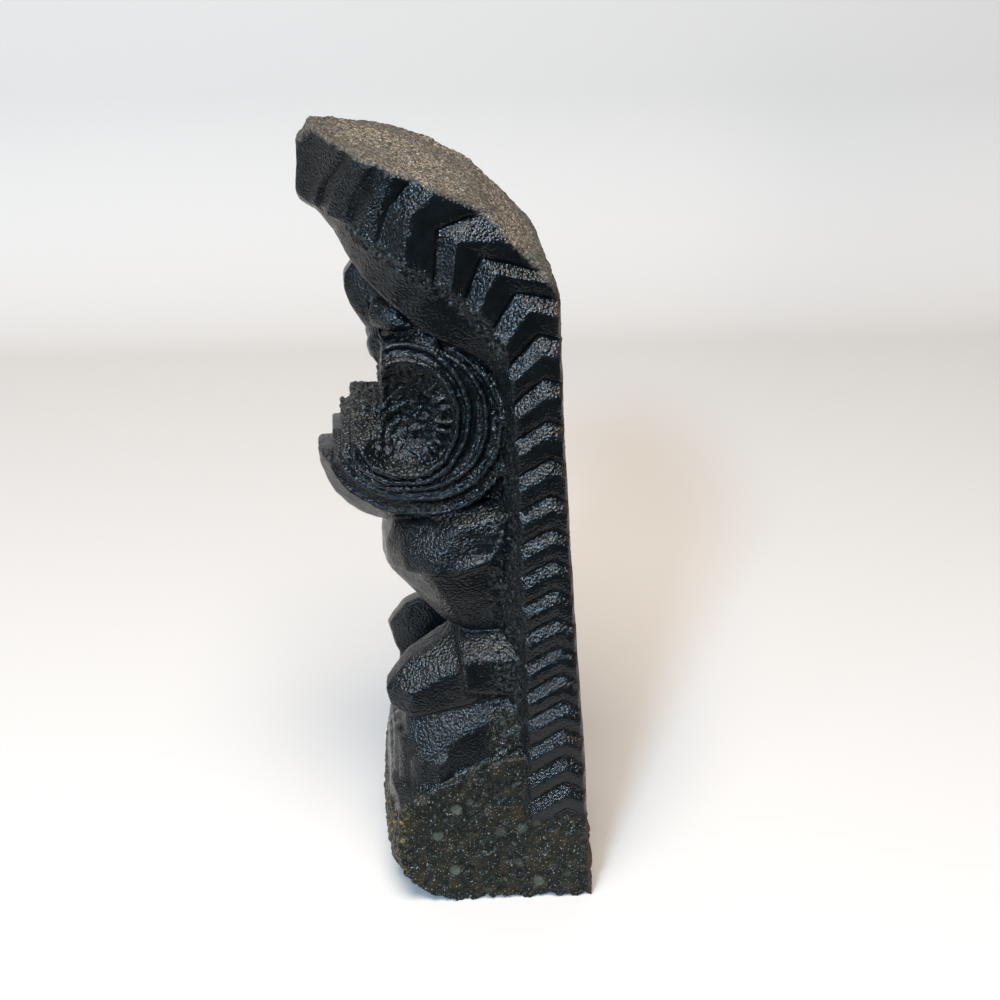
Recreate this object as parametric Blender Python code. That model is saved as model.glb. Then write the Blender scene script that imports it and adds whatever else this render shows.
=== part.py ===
"""Lava rock tiki figurine, cast in one piece.

The figure faces -Y and its left side faces +X. It stands on z = 0 with the origin under the
middle of its box. All carving is laid out on a master drawing of 52 x 60 x 168.4 units, one unit
to the millimetre at the present size, and at() turns a place on the drawing into metres.
"""
import math

import bmesh
import bpy
from mathutils import Vector

# Driving sizes in metres
HEIGHT = 0.1684          # floor to the tip of the hood
WIDTH = 0.052            # across the slab
DEPTH = 0.060            # tip of the hood to the back of the foot
CHEVRON_PITCH = 0.0066   # between chevrons at the foot of the side band
BEND_PITCH = 0.0101      # between chevrons over the bend of the hood
TIP_PITCH = 0.0062       # between chevrons towards the tip of the hood
CHEVRON_RELIEF = 0.21    # height of a chevron as a share of its pitch
TIP_RELIEF = 0.30        # the same for the chevrons near the tip, which are cut deeper
CHEVRON_ANGLE = 30.0     # slope of a chevron's arms at the foot of the band, in degrees
CHEVRON_START = 0.0225   # height of the lowest chevron's point
LIP_GROOVE = 0.0011      # depth of the grooves between the lip rings
BOWL_DEPTH = 0.0070      # depth of the hollow in each mouth lobe
TOE_RADIUS = 0.0029
EYE_RADIUS = 0.0034

# Master drawing: its size in units, and facets round a turned form
SHEET_WIDTH = 52.0
SHEET_DEPTH = 60.0
SHEET_HEIGHT = 168.4
ROUND_SIDES = 36
TOE_SIDES = 10
SHARP_ANGLE = 28.0       # edges steeper than this, in degrees, stay sharp

# Shape of the chevron band at each station: the place of a chevron's point as a share of the
# band's depth from the back edge, and the slopes of its two arms as shares of the chevron angle
APEX_SHARES = (0.33, 0.33, 0.33, 0.33, 0.36, 0.45, 0.44, 0.43, 0.43, 0.44, 0.47, 0.52, 0.58, 0.62, 0.62)
INNER_SWEEPS = (1.0, 1.0, 0.95, 0.70, 0.60, 0.60, 0.50, 0.65, 0.80, 0.55, -0.25, -0.45, -0.5, -0.5, -0.5)
BACK_SWEEPS = (1.0, 1.0, 1.0, 1.05, 1.15, 1.25, 1.70, 1.90, 1.65, 0.90, 0.75, 0.80, 0.85, 0.85, 0.85)
EDGE_SHARE = 0.06        # width of the turned-in rim at each edge of the band
CREST_SHARE = 0.58       # place of the crest between two grooves
TIP_CREST_SHARE = 0.45   # the same near the tip, where the side that faces the tip is wider
LEDGE_SHARE = 0.42       # height of the small ledge above each groove, against the crest
LEDGE_PLACE = 0.05       # place of the ledge above its groove
PLAIN_SHARE = 0.42       # flat foot of the wall, as a share of the lowest chevron's height
TIP_MARGIN = 0.2         # room kept free before the tip, as a share of the pitch

# Stations up the slab and along the hood. Each gives back edge (y, z), inner edge of the
# chevron band (y, z), lower edge of the plain bevel (y, z), and half widths at wall and bevel.
STATIONS = (
    ((29.9, 0.0), (16.0, 0.0), (11.6, 0.0), 25.0, 20.0),
    ((27.3, 42.0), (15.1, 42.0), (11.2, 42.0), 24.8, 20.0),
    ((25.0, 72.0), (13.9, 72.0), (10.8, 72.0), 24.7, 20.0),
    ((22.9, 104.0), (12.6, 102.0), (10.4, 101.0), 24.5, 20.4),
    ((21.8, 128.0), (10.9, 121.5), (9.4, 118.0), 24.2, 21.0),
    ((20.8, 139.8), (9.0, 129.4), (6.6, 123.6), 24.0, 21.4),
    ((15.5, 145.9), (4.3, 134.6), (0.9, 127.2), 24.0, 21.4),
    ((9.9, 152.3), (0.3, 138.2), (-3.2, 129.3), 24.0, 21.4),
    ((3.3, 157.5), (-4.4, 141.0), (-7.6, 132.2), 24.2, 21.0),
    ((-4.0, 160.7), (-9.2, 144.2), (-12.0, 135.8), 23.8, 20.0),
    ((-11.0, 163.4), (-14.2, 147.0), (-16.7, 140.1), 21.8, 17.0),
    ((-18.0, 165.3), (-18.6, 150.0), (-20.2, 144.2), 17.2, 12.2),
    ((-23.0, 167.0), (-23.2, 151.9), (-23.2, 148.6), 11.0, 7.0),
    ((-26.8, 168.4), (-27.4, 153.2), (-26.4, 151.2), 5.6, 3.2),
    ((-29.6, 165.0), (-30.1, 155.0), (-29.4, 152.9), 3.0, 1.6),
)
BAND_END = 5             # station where the upright band turns into the hood
BEND_REACH = 0.45        # share of the band's length over which the pitch grows
BEND_COUNT = 2.7         # wide chevrons beyond the bend
TIP_START = 13           # station where the blunt tip of the hood begins

# Lip rings from the jaw outwards: centre (y, z), half axes (y, z), half width at the centre,
# and how far the ring turns outwards for each unit towards the back
JAW_CORE = ((-8.7, 103.6), (18.7, 19.5), 7.0, 0.20)
LIP_RINGS = (
    ((-7.2, 108.3), (19.0, 19.4), 14.6, 0.33),
    ((-7.3, 110.4), (17.3, 17.2), 17.0, 0.27),
    ((-8.2, 111.6), (15.2, 15.6), 18.6, 0.22),
    ((-9.2, 112.6), (12.5, 14.8), 19.8, 0.18),
    ((-9.2, 112.0), (10.3, 12.3), 20.6, 0.15),
)
BOWL_DROP = 3.0          # how far the floor of each hollow lies below the middle of its rim
BOWL_RINGS = ((0.90, 0.14), (0.72, 0.55), (0.42, 0.88))    # shares of the rim's size and the depth
LIP_SWELL = 0.075        # how much fuller the rings are below in front, as a share of their size

# Steps cut into the front of the lips: what lies before y and above z goes. The floor of each
# step is level between the lobes and falls away to the sides.
LIP_STEPS = ((-14.0, 111.6), (-20.4, 108.2), (-22.4, 104.6), (-24.3, 100.2))
STEP_FLAT = 4.8          # half width of the level part of a step
STEP_EDGE = 26.0         # half width of the whole step
STEP_FALL = 9.5          # how far the floor of a step falls between the two


def at(x, y, z):
    """A place on the master drawing, in metres."""
    return Vector((x * WIDTH / SHEET_WIDTH, y * DEPTH / SHEET_DEPTH, z * HEIGHT / SHEET_HEIGHT))


def both_sides(points):
    """Points given for the left side, with their mirror images."""
    return list(points) + [(-x, y, z) for x, y, z in points]


def hidden_form(name, mesh, collection):
    """An object that only shapes the figure: hidden, and drawn as wire."""
    form = bpy.data.objects.new(name, mesh)
    form.hide_render = True
    form.display_type = 'WIRE'
    collection.objects.link(form)
    return form


def hull(name, places, collection):
    """A carved block with flat facets: the tightest closed shape round its corners."""
    work = bmesh.new()
    for place in places:
        work.verts.new(at(*place))
    made = bmesh.ops.convex_hull(work, input=work.verts)
    spare = [item for item in made["geom_interior"] if isinstance(item, bmesh.types.BMVert)]
    bmesh.ops.delete(work, geom=spare, context='VERTS')
    bmesh.ops.recalc_face_normals(work, faces=work.faces)
    mesh = bpy.data.meshes.new(name)
    work.to_mesh(mesh)
    work.free()
    return hidden_form(name, mesh, collection)


def skin(name, rings, close_first, close_last):
    """A closed skin over rings of equal length; each end is a fan to a point or a flat cap."""
    work = bmesh.new()
    rows = [[work.verts.new(point) for point in ring] for ring in rings]
    count = len(rows[0])
    for lower, upper in zip(rows, rows[1:]):
        for i in range(count):
            j = (i + 1) % count
            work.faces.new((lower[i], lower[j], upper[j], upper[i]))
    for row, point in ((rows[0], close_first), (rows[-1], close_last)):
        if point is None:
            work.faces.new(row)
            continue
        pole = work.verts.new(point)
        for i in range(count):
            work.faces.new((row[i], row[(i + 1) % count], pole))
    bmesh.ops.recalc_face_normals(work, faces=work.faces)
    bmesh.ops.triangulate(work, faces=work.faces)
    mesh = bpy.data.meshes.new(name)
    work.to_mesh(mesh)
    work.free()
    return mesh


def blend(values, place):
    """Smooth curve through a row of equally spaced values."""
    last = len(values) - 1
    i = min(int(place), last - 1)
    share = place - i
    before = values[max(i - 1, 0)]
    start = values[i]
    end = values[i + 1]
    after = values[min(i + 2, last)]
    slope_in = (end - before) / 2
    slope_out = (after - start) / 2
    square = share * share
    cube = square * share
    return ((2 * cube - 3 * square + 1) * start + (cube - 2 * square + share) * slope_in
            + (3 * square - 2 * cube) * end + (cube - square) * slope_out)


def apex_share(place):
    """Where the chevron points lie at any place along the stations."""
    return blend(APEX_SHARES, place)


def arm_slope(place, inner):
    """Slope of a chevron's inner or back arm at any place along the stations."""
    sweep = blend(INNER_SWEEPS if inner else BACK_SWEEPS, place)
    return math.tan(math.radians(CHEVRON_ANGLE * sweep))


def station(place):
    """Back edge, inner edge, bevel edge and half widths at any place along the stations."""
    flat = [(b[0], b[1], i[0], i[1], l[0], l[1], w, n) for b, i, l, w, n in STATIONS]
    read = [blend([row[k] for row in flat], place) for k in range(8)]
    return read[0:2], read[2:4], read[4:6], read[6], read[7]


def wall_point(place, share, side):
    """A point on the side wall of slab and hood."""
    back, inner, _, wide, _ = station(place)
    y = back[0] + (inner[0] - back[0]) * share
    z = back[1] + (inner[1] - back[1]) * share
    return at(side * wide, y, z)


def wall_normal(place, share, side):
    """The way the side wall faces."""
    step = 0.02
    low = max(place - step, 0.0)
    high = min(place + step, len(STATIONS) - 1.0)
    along = wall_point(high, share, side) - wall_point(low, share, side)
    across = wall_point(place, 1.0, side) - wall_point(place, 0.0, side)
    normal = along.cross(across).normalized()
    return normal if normal.x * side > 0 else -normal


class Spine:
    """Distances along the line of chevron points, in metres, against station places."""

    def __init__(self):
        steps = 40 * (len(STATIONS) - 1)
        self.places = [i / 40 for i in range(steps + 1)]
        self.lengths = [0.0]
        for low, high in zip(self.places, self.places[1:]):
            gap = wall_point(high, apex_share(high), 1) - wall_point(low, apex_share(low), 1)
            self.lengths.append(self.lengths[-1] + Vector((0.0, gap.y, gap.z)).length)
        self.total = self.lengths[-1]

    def place(self, length):
        length = min(max(length, 0.0), self.total)
        for i in range(1, len(self.lengths)):
            if self.lengths[i] >= length:
                span = self.lengths[i] - self.lengths[i - 1]
                share = (length - self.lengths[i - 1]) / span if span > 0 else 0.0
                return self.places[i - 1] + (self.places[i] - self.places[i - 1]) * share
        return self.places[-1]

    def length(self, place):
        i = min(int(place * 40), len(self.places) - 2)
        share = place * 40 - i
        return self.lengths[i] + (self.lengths[i + 1] - self.lengths[i]) * share


def band_depth(place):
    """Depth of the wall from back edge to inner edge, in metres."""
    return (wall_point(place, 1.0, 1) - wall_point(place, 0.0, 1)).length


def chevron_rows(spine):
    """Rows along the slab as (distance, height above the wall, sweep): one groove, one ledge
    and one crest for each chevron, wider at the bend of the hood."""
    bend = spine.length(BAND_END)
    reach = bend * BEND_REACH
    wide_end = bend + BEND_PITCH * BEND_COUNT
    rows = [(0.0, 0.0, 0.0), (CHEVRON_START * PLAIN_SHARE, 0.0, 0.0)]
    groove = CHEVRON_START
    last = spine.length(TIP_START)
    while groove < last - CHEVRON_PITCH * TIP_MARGIN:
        if groove < bend:
            near_bend = max(0.0, 1 - (bend - groove) / reach)
            pitch = CHEVRON_PITCH + (BEND_PITCH - CHEVRON_PITCH) * near_bend
        else:
            pitch = BEND_PITCH if groove < wide_end else TIP_PITCH
        near_tip = groove >= wide_end
        crest = pitch * (TIP_RELIEF if near_tip else CHEVRON_RELIEF)
        crest_place = groove + pitch * (TIP_CREST_SHARE if near_tip else CREST_SHARE)
        rows.append((groove, 0.0, 1.0))
        rows.append((groove + pitch * LEDGE_PLACE, crest * LEDGE_SHARE, 1.0))
        if crest_place < last - CHEVRON_PITCH * TIP_MARGIN / 2:
            rows.append((crest_place, crest, 1.0))
        groove += pitch
    rows.append((spine.length(TIP_START), 0.0, 0.0))
    rows.append((spine.total, 0.0, 0.0))
    return rows


def slab_and_hood():
    """The upright slab that curves forward into the hood, with its chevron band."""
    spine = Spine()
    raised = (0.0, 1.0, 1.0, 1.0, 0.0)
    rings = []
    for distance, height, sweep in chevron_rows(spine):
        middle = spine.place(distance)
        depth = band_depth(middle)
        apex = apex_share(middle)
        shares = (0.0, EDGE_SHARE, apex, 1 - EDGE_SHARE, 1.0)
        ring = []
        for side in (1, -1):
            column = []
            for share, lift in zip(shares, raised):
                arm = arm_slope(middle, share > apex) * sweep * abs(share - apex) * depth
                place = spine.place(distance - arm)
                normal = wall_normal(place, share, side)
                column.append(wall_point(place, share, side) + normal * height * lift)
            arm = arm_slope(middle, True) * sweep * (1 - apex) * depth
            _, _, bevel, _, narrow = station(spine.place(distance - arm))
            column.append(at(side * narrow, bevel[0], bevel[1]))
            ring += column if side > 0 else column[::-1]
        rings.append(ring)
    return skin("slab_and_hood", rings, None, None)


def ellipse(centre, axes, x, lean, grow=1.0):
    """A ring round the mouth that turns outwards towards the back by its lean."""
    side = 1 if x > 0 else -1
    points = []
    for i in range(ROUND_SIDES):
        angle = 2 * math.pi * i / ROUND_SIDES
        chin = max(-math.cos(angle), 0.0) * max(-math.sin(angle), 0.0)
        size = grow * (1 + 2 * LIP_SWELL * chin)
        along = axes[0] * size * math.cos(angle)
        z = centre[1] + axes[1] * size * math.sin(angle)
        points.append(at(x + side * lean * along, centre[0] + along, z))
    return points


def mouth(collection):
    """Jaw and lips: grooved rings that close in on a hollow at each side of the head."""
    groove = LIP_GROOVE * SHEET_WIDTH / WIDTH
    bowl = BOWL_DEPTH * SHEET_WIDTH / WIDTH
    half = [JAW_CORE + (1.0,)]
    for outer, inner in zip(LIP_RINGS, LIP_RINGS[1:]):
        half.append(outer + (1.0,))
        valley_centre = [(a + b) / 2 for a, b in zip(outer[0], inner[0])]
        valley_axes = [(a + b) / 2 for a, b in zip(outer[1], inner[1])]
        half.append((valley_centre, valley_axes, (outer[2] + inner[2]) / 2 - groove,
                     (outer[3] + inner[3]) / 2, 1.0))
    rim = LIP_RINGS[-1]
    half.append(rim + (1.0,))
    for grow, fall in BOWL_RINGS:
        centre = (rim[0][0], rim[0][1] - BOWL_DROP * fall)
        half.append((centre, rim[1], rim[2] - bowl * fall, rim[3], grow))
    rings = []
    for side, order in ((-1, reversed(half)), (1, half)):
        for centre, axes, x, lean, grow in order:
            rings.append(ellipse(centre, axes, side * x, lean, grow))
    floor = rim[2] - bowl
    first = at(-floor, rim[0][0], rim[0][1] - BOWL_DROP)
    last = at(floor, rim[0][0], rim[0][1] - BOWL_DROP)
    mesh = skin("mouth", rings, first, last)
    soften(mesh)
    return hidden_form("mouth", mesh, collection)


def base(collection):
    """The low rough block under the feet, with its front corner knocked off."""
    hull("base", [
        (24.9, 20.0, 0.0), (24.9, -1.0, 0.0), (24.9, -7.6, 3.0), (24.9, -11.4, 8.0), (24.9, -12.8, 14.0),
        (24.9, -12.2, 24.0), (24.9, 10.0, 35.0), (24.9, 20.0, 35.0),
        (14.0, -9.0, 0.0), (14.0, -13.8, 6.0), (14.0, -14.8, 13.0), (14.0, -13.8, 26.0),
        (-24.9, 20.0, 0.0), (-24.9, -12.4, 0.0), (-24.9, -13.8, 5.0), (-24.9, -13.0, 24.0),
        (-24.9, 10.0, 35.0), (-24.9, 20.0, 35.0),
        (-14.0, -13.4, 0.0), (-14.0, -14.8, 7.0), (-14.0, -13.8, 26.0),
    ], collection)


def foot(side, collection):
    """Shin and foot as one block, with toes that fan round its outer corner."""
    label = "left" if side > 0 else "right"
    block = [
        (6.0, -11.0, 22.0), (17.0, -10.0, 22.0), (23.0, -6.6, 23.4), (23.6, 10.5, 33.0), (6.0, 12.0, 30.0),
        (7.0, -11.6, 38.0), (17.0, -10.8, 38.0), (22.4, -8.0, 33.2), (22.8, 1.2, 39.8), (22.6, 11.0, 38.4),
        (9.0, -11.0, 43.6), (16.5, -10.4, 43.6), (20.0, -4.0, 43.0), (20.6, 6.0, 46.4), (8.0, 10.0, 46.0),
        (22.4, 15.4, 36.0), (22.2, 15.4, 47.6), (20.8, 8.0, 48.4), (10.0, 15.4, 48.0),
    ]
    hull(label + "_foot", [(side * x, y, z) for x, y, z in block], collection)
    radius = TOE_RADIUS * SHEET_WIDTH / WIDTH
    toes = ((7.6, -10.3, 40.2), (12.0, -10.4, 40.2), (16.2, -9.4, 39.6), (19.4, -7.0, 37.0),
            (21.2, -3.2, 35.4))
    for i, (x, y, top) in enumerate(toes):
        places = []
        for k in range(TOE_SIDES):
            angle = 2 * math.pi * k / TOE_SIDES
            across = x + radius * math.cos(angle)
            along = y + radius * math.sin(angle)
            slope = 0.5 * (along - y)
            places.append((side * across, along, 23.4 - 0.25 * (along - y)))
            places.append((side * across, along, top + slope - 1.2))
            places.append((side * (x + 0.6 * (across - x)), y + 0.6 * (along - y) + 0.6, top + slope))
        hull("%s_toe_%d" % (label, i + 1), places, collection)


def leg(side, collection):
    """Bent leg: a thigh that comes forward to a pointed knee, and the hip behind it."""
    label = "left" if side > 0 else "right"
    knee = -14.8 if side > 0 else -13.5
    thigh = [
        (17.0, knee, 49.4), (13.0, knee + 0.4, 50.4), (17.5, knee + 1.2, 45.6), (12.0, knee + 1.8, 45.0),
        (16.0, -9.8, 55.4), (10.5, -9.4, 56.2), (20.6, -9.2, 49.6), (20.2, -9.0, 43.4), (11.0, -9.0, 41.4),
        (14.0, 0.0, 61.0), (8.0, 0.0, 61.6), (21.8, 1.5, 56.0), (21.2, 3.0, 46.6), (10.0, 3.0, 44.0),
        (16.0, 8.0, 62.5), (8.0, 8.0, 62.5), (21.8, 9.0, 50.0),
    ]
    hip = [
        (17.6, 0.8, 60.6), (22.6, 1.4, 57.6), (23.2, 2.2, 51.0), (20.8, 2.2, 47.6), (12.0, 3.0, 48.0),
        (20.4, 14.2, 62.6), (23.4, 14.6, 58.4), (22.8, 14.6, 49.6), (20.0, 14.6, 47.4), (12.0, 14.0, 47.0),
        (12.0, 2.0, 63.0), (12.0, 14.0, 64.0),
    ]
    hull(label + "_thigh", [(side * x, y, z) for x, y, z in thigh], collection)
    hull(label + "_hip", [(side * x, y, z) for x, y, z in hip], collection)


def torso(collection):
    """Shoulders and chest over a trunk that tapers to the hips, arms pressed to its sides."""
    hull("shoulders", both_sides([
        (0.0, -14.6, 80.0), (0.0, -14.2, 74.0), (0.0, -13.0, 84.4),
        (9.5, -13.9, 80.2), (9.5, -13.4, 75.2), (8.5, -12.0, 85.0),
        (16.6, -10.8, 81.0), (17.6, -9.8, 76.8), (14.5, -7.6, 86.6),
        (21.2, -4.6, 80.6), (21.8, -4.0, 77.4), (22.4, 1.0, 77.2), (22.8, 9.6, 81.6),
        (21.2, 0.4, 87.8), (22.2, 10.6, 90.6), (15.0, 4.0, 92.0), (15.0, 14.0, 92.0), (20.0, 14.0, 84.0),
    ]), collection)
    hull("trunk", both_sides([
        (0.0, -13.9, 72.4), (9.0, -13.1, 74.4), (0.0, -10.0, 80.0), (17.0, -8.4, 78.0),
        (20.6, -6.4, 78.9), (21.4, 0.0, 79.5), (21.6, 10.0, 82.0), (21.0, 14.0, 82.0),
        (0.0, -2.6, 61.2), (10.0, -1.8, 62.2), (17.6, 0.8, 65.2), (18.4, 2.2, 64.2), (18.8, 14.0, 63.4),
        (12.0, 4.0, 60.0), (12.0, 14.0, 58.0),
    ]), collection)


def head(collection):
    """Head under the hood: brow, nose, nostrils, cheeks and eyes."""
    hull("skull", both_sides([
        (2.0, -15.8, 141.0), (12.0, -13.0, 138.0), (18.6, -6.6, 133.4), (19.6, -2.0, 130.0),
        (7.0, -12.8, 124.0), (17.4, -4.6, 126.0), (6.0, -13.9, 114.0), (13.0, -10.0, 112.0),
        (16.0, 2.0, 120.0), (19.4, 8.0, 130.0), (15.0, 8.0, 96.0), (12.0, 0.0, 90.0),
        (6.0, 10.0, 144.0), (16.0, 12.0, 92.0), (12.0, 12.0, 142.0),
    ]), collection)
    hull("nose", both_sides([
        (2.2, -17.6, 142.4), (2.6, -19.6, 139.4), (2.2, -21.1, 137.2), (2.4, -21.0, 134.0),
        (2.8, -20.0, 131.0), (3.2, -18.2, 128.4), (3.8, -16.4, 125.8),
        (4.6, -16.6, 138.6), (4.8, -17.0, 133.6), (8.2, -12.8, 125.2), (5.0, -11.0, 142.0),
        (6.0, -8.0, 122.0),
    ]), collection)
    for side in (1, -1):
        label = "left" if side > 0 else "right"
        lump("%s_nostril" % label, (side * 5.0, -12.9, 123.2), (4.6, 4.0, 4.1), collection)
        hull(label + "_cheek", [(side * x, y, z) for x, y, z in (
            (4.0, -15.6, 124.6), (4.0, -15.8, 121.8), (4.0, -14.6, 119.6),
            (11.0, -13.0, 126.0), (12.0, -13.4, 122.6), (11.0, -12.2, 120.4),
            (18.0, -8.0, 128.4), (19.4, -7.6, 125.4), (18.6, -6.6, 122.0),
            (20.4, -3.0, 129.0), (20.6, -2.0, 123.0), (12.0, 2.0, 129.0), (12.0, 2.0, 118.0),
        )], collection)
        radius = EYE_RADIUS * SHEET_WIDTH / WIDTH
        eye = []
        for i in range(8):
            angle = 2 * math.pi * i / 8
            rise = radius * math.sin(angle)
            out = 0.55 * radius * math.cos(angle)
            eye.append((side * (12.0 + out), -14.4 - out, 132.0 + rise))
            eye.append((side * (15.6 + out), -10.8 - out, 131.6 + 0.9 * rise))
        eye.append((side * 10.0, -15.4, 133.6))
        eye.append((side * 18.8, -7.6, 130.6))
        eye.append((side * 13.0, -8.0, 132.0))
        hull(label + "_eye", eye, collection)


def lump(name, centre, radii, collection):
    """A rounded boss."""
    work = bmesh.new()
    bmesh.ops.create_icosphere(work, subdivisions=2, radius=1.0)
    for vert in work.verts:
        place = [c + r * v for c, r, v in zip(centre, radii, vert.co)]
        vert.co = at(*place)
    mesh = bpy.data.meshes.new(name)
    work.to_mesh(mesh)
    work.free()
    soften(mesh)
    return hidden_form(name, mesh, collection)


def lip_cuts(collection):
    """Blocks that cut the lips to steps in front, so the lower lip juts out."""
    for i, (front, height) in enumerate(LIP_STEPS):
        low = height - STEP_FALL
        outline = [(-STEP_EDGE, 140.0), (-STEP_EDGE, low), (-STEP_FLAT, height),
                   (STEP_FLAT, height), (STEP_EDGE, low), (STEP_EDGE, 140.0)]
        rings = [[at(x, y, z) for x, z in outline] for y in (-34.0, front)]
        name = "lip_step_%d" % (i + 1)
        hidden_form(name, skin(name, rings, None, None), collection)


def stone_material():
    """Cast lava stone under a thin black lacquer."""
    material = bpy.data.materials.new("black_lava_stone")
    material.use_nodes = True
    shader = material.node_tree.nodes["Principled BSDF"]
    shader.inputs["Base Color"].default_value = (0.016, 0.017, 0.018, 1.0)
    shader.inputs["Roughness"].default_value = 0.38
    shader.inputs["Metallic"].default_value = 0.0
    return material


def collection_of(name):
    made = bpy.data.collections.new(name)
    bpy.context.scene.collection.children.link(made)
    return made


def soften(mesh):
    """Smooth shading over the turned surfaces of a form, with its ridges kept sharp."""
    for face in mesh.polygons:
        face.use_smooth = True
    mesh.set_sharp_from_angle(angle=math.radians(SHARP_ANGLE))


def boolean(target, name, operation, collection):
    modifier = target.modifiers.new(name, 'BOOLEAN')
    modifier.operation = operation
    modifier.operand_type = 'COLLECTION'
    modifier.collection = collection
    modifier.solver = 'EXACT'
    return modifier


def build():
    for old in list(bpy.data.objects):
        bpy.data.objects.remove(old)
    lips = collection_of("lips")
    cuts = collection_of("lip_cuts")
    body = collection_of("body")
    jaw = mouth(lips)
    lip_cuts(cuts)
    boolean(jaw, "steps", 'DIFFERENCE', cuts)
    base(body)
    torso(body)
    head(body)
    for side in (1, -1):
        foot(side, body)
        leg(side, body)
    figure = bpy.data.objects.new("tiki_figurine", slab_and_hood())
    bpy.context.scene.collection.objects.link(figure)
    figure.data.materials.append(stone_material())
    boolean(figure, "body", 'UNION', body)
    boolean(figure, "lips", 'UNION', lips)


build()
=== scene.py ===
# %% [markdown]
# # A carved lava stone figure under black lacquer
#
# The real object is one piece of cast lava stone, about 17 cm tall. Its carving was brushed with a
# black lacquer that has sunk into the grain, and its back and the top of its hood were left bare.
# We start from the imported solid, which already has the pose, the outline and the main carving.
# Then we soften its edges, add the fine ridges and the grain, and give it its finishes.

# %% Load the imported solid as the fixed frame
import math

import bmesh
import bpy
import numpy as np
from mathutils import Matrix, Vector


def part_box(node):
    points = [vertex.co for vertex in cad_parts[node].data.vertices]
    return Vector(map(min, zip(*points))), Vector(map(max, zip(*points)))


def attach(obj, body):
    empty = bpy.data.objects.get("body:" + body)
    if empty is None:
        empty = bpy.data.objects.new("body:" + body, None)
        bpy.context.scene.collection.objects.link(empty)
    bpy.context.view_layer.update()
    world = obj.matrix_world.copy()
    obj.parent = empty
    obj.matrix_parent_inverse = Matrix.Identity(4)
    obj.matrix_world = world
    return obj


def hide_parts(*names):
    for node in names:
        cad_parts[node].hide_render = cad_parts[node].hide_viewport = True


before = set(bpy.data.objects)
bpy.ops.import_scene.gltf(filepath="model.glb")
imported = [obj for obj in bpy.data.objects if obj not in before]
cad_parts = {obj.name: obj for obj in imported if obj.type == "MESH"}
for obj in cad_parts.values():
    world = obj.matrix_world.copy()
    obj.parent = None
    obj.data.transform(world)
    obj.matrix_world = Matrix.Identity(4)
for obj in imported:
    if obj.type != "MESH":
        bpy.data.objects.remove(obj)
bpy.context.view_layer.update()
MM = 0.001

# %% [markdown]
# ## Camera
#
# The photograph looks at the figure's left side, a little from the front and from above. The
# camera is placed by its azimuth and elevation round a point in the middle of the figure, which is
# easier to adjust than loose coordinates. The lens is long, so the figure shows little perspective.

# %% Camera at the photograph's angle
CAMERA_AZIMUTH = 85.5
CAMERA_ELEVATION = 22.0
CAMERA_DISTANCE = 0.420
CAMERA_TARGET = Vector((0.0, 0.0114, 0.0854))
CAMERA_LENS = 69.48


def direction(azimuth, elevation):
    """The way from the figure to a place seen at this azimuth and elevation, in degrees."""
    a = math.radians(azimuth)
    e = math.radians(elevation)
    return Vector((math.sin(a) * math.cos(e), -math.cos(a) * math.cos(e), math.sin(e)))


def aim(thing, place, target):
    """Places a camera or light and turns it to look at the target."""
    thing.location = place
    thing.rotation_euler = (target - place).to_track_quat('-Z', 'Y').to_euler()


camera_place = CAMERA_TARGET + direction(CAMERA_AZIMUTH, CAMERA_ELEVATION) * CAMERA_DISTANCE
bpy.ops.object.camera_add()
camera = bpy.context.object
camera.name = "photo_camera"
camera.data.lens = CAMERA_LENS
camera.data.sensor_width = 36.0
camera.data.clip_start = 0.01
aim(camera, camera_place, CAMERA_TARGET)
bpy.context.scene.camera = camera
print("camera at", [round(value, 4) for value in camera_place])

# %% [markdown]
# ## Small helpers
#
# Every step that models something selects it by hand, so one helper clears the selection and
# picks one object. Colours are written as hex values, as a paint chart gives them, and one
# function turns them to the linear values that a shader wants. One more adds a shader node: what
# it is given for a socket is linked if it comes from another node, and set as a value otherwise.


# %% Helpers for selection, modifiers, colour and nodes
def select_only(piece):
    """Deselects everything, then selects this piece and makes it active."""
    bpy.ops.object.select_all(action='DESELECT')
    piece.select_set(True)
    bpy.context.view_layer.objects.active = piece


def apply_modifiers(piece):
    """Applies every modifier of the piece from the top of its list down."""
    select_only(piece)
    for modifier in list(piece.modifiers):
        bpy.ops.object.modifier_apply(modifier=modifier.name)


def paint(hex_value):
    """Linear colour of an sRGB hex value such as 8a7f70."""
    channels = []
    for i in (0, 2, 4):
        value = int(hex_value[i:i + 2], 16) / 255
        channels.append(value / 12.92 if value <= 0.04045 else ((value + 0.055) / 1.055) ** 2.4)
    return (*channels, 1.0)


def add_node(tree, kind, inputs, **settings):
    """Adds a node, gives it its settings, and links or sets each of its inputs."""
    node = tree.nodes.new(kind)
    for name, value in settings.items():
        setattr(node, name, value)
    for socket, value in inputs.items():
        if isinstance(value, bpy.types.NodeSocket):
            tree.links.new(value, node.inputs[socket])
        else:
            node.inputs[socket].default_value = value
    return node


def new_material(name):
    """A node material with its tree and its Principled shader."""
    material = bpy.data.materials.new(name)
    material.use_nodes = True
    tree = material.node_tree
    return material, tree, tree.nodes["Principled BSDF"]


# %% [markdown]
# ## Floor and backdrop
#
# The figure stands on a pale card that curves up behind it. A plane's back edge is extruded
# upwards, and a wide bevel rounds the bend. It ends a little way in front of the figure, so the
# lacquer that faces the camera mirrors the dim room there. The card isn't part of the object.

# %% Pale card with a soft bend behind the figure
CARD_REACH = 1.6
CARD_FRONT = 0.08
WALL_X = -0.47
WALL_HEIGHT = 1.5
BEND_RADIUS = 0.09
BEND_SEGMENTS = 16
NEAR = 0.01

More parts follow.
